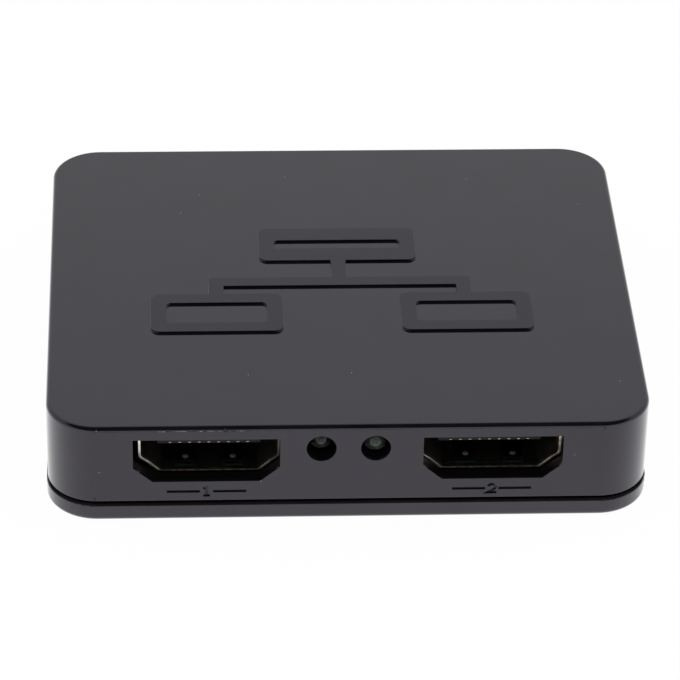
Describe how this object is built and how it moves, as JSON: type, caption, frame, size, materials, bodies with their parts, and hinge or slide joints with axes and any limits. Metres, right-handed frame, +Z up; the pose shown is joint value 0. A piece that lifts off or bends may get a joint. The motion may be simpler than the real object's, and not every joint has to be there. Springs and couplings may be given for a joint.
{
  "type": "hdmi splitter",
  "caption": "Flat box with round corners that splits one video input into two outputs, with recessed sockets and status lamps on its front wall.",
  "frame": {"origin": "middle of the underside", "axes": "+X to the right seen from the outputs, outputs face -Y, input and power face +Y, +Z up"},
  "size_m": [0.0622, 0.0542, 0.0119],
  "materials": {
    "case_plastic": "satin moulded, black",
    "screw_steel": "zinc plated",
    "board_laminate": "solder mask",
    "chip_plastic": "moulded",
    "tinned_leads": "tinned",
    "crystal_steel": "nickel plated",
    "capacitor_aluminium": "drawn can",
    "ceramic_body": "fired ceramic",
    "shell_steel": "plated sheet",
    "socket_plastic": "moulded",
    "gold_contacts": "gold flash",
    "lamp_resin": "clear tinted resin"
  },
  "bodies": {
    "case": {"top_cover": "case_plastic", "bottom_cover": "case_plastic", "case_screws": "screw_steel", "circuit_board": "board_laminate", "splitter_chip": "chip_plastic", "regulators": "chip_plastic", "memory_chip": "chip_plastic", "surge_arrays": "chip_plastic", "resistors": "chip_plastic", "capacitor_bases": "chip_plastic", "splitter_chip_pins": "tinned_leads", "regulator_leads": "tinned_leads", "memory_chip_leads": "tinned_leads", "ceramic_capacitor_ends": "tinned_leads", "resistor_ends": "tinned_leads", "lamp_1_leads": "tinned_leads", "lamp_2_leads": "tinned_leads", "clock_crystal": "crystal_steel", "capacitor_cans": "capacitor_aluminium", "ceramic_capacitors": "ceramic_body", "output_1_shell": "shell_steel", "output_2_shell": "shell_steel", "input_shell": "shell_steel", "power_shell": "shell_steel", "output_1_insulator": "socket_plastic", "output_2_insulator": "socket_plastic", "input_insulator": "socket_plastic", "power_insulator": "socket_plastic", "output_1_contacts": "gold_contacts", "output_2_contacts": "gold_contacts", "input_contacts": "gold_contacts", "power_contacts": "gold_contacts", "lamp_1_lens": "lamp_resin", "lamp_2_lens": "lamp_resin"},
    "output_1_upper_grip": {"output_1_upper_springs": "shell_steel"},
    "output_1_lower_grip": {"output_1_lower_springs": "shell_steel"},
    "output_2_upper_grip": {"output_2_upper_springs": "shell_steel"},
    "output_2_lower_grip": {"output_2_lower_springs": "shell_steel"},
    "input_upper_grip": {"input_upper_springs": "shell_steel"},
    "input_lower_grip": {"input_lower_springs": "shell_steel"}
  },
  "joints": [
    {"name": "output_1_upper_flex", "type": "hinge", "parent": "case", "child": "output_1_upper_grip", "pos_m": [-0.01435, -0.0175, 0.0097], "axis": [-1, 0, 0], "range_deg": [0, 3], "stiffness_Nm_per_rad": 0.3},
    {"name": "output_1_lower_flex", "type": "hinge", "parent": "case", "child": "output_1_lower_grip", "pos_m": [-0.01435, -0.0175, 0.00485], "axis": [1, 0, 0], "range_deg": [0, 3], "stiffness_Nm_per_rad": 0.3},
    {"name": "output_2_upper_flex", "type": "hinge", "parent": "case", "child": "output_2_upper_grip", "pos_m": [0.01455, -0.0175, 0.0097], "axis": [-1, 0, 0], "range_deg": [0, 3], "stiffness_Nm_per_rad": 0.3},
    {"name": "output_2_lower_flex", "type": "hinge", "parent": "case", "child": "output_2_lower_grip", "pos_m": [0.01455, -0.0175, 0.00485], "axis": [1, 0, 0], "range_deg": [0, 3], "stiffness_Nm_per_rad": 0.3},
    {"name": "input_upper_flex", "type": "hinge", "parent": "case", "child": "input_upper_grip", "pos_m": [0.008, 0.0175, 0.0097], "axis": [1, 0, 0], "range_deg": [0, 3], "stiffness_Nm_per_rad": 0.3},
    {"name": "input_lower_flex", "type": "hinge", "parent": "case", "child": "input_lower_grip", "pos_m": [0.008, 0.0175, 0.00485], "axis": [-1, 0, 0], "range_deg": [0, 3], "stiffness_Nm_per_rad": 0.3}
  ]
}
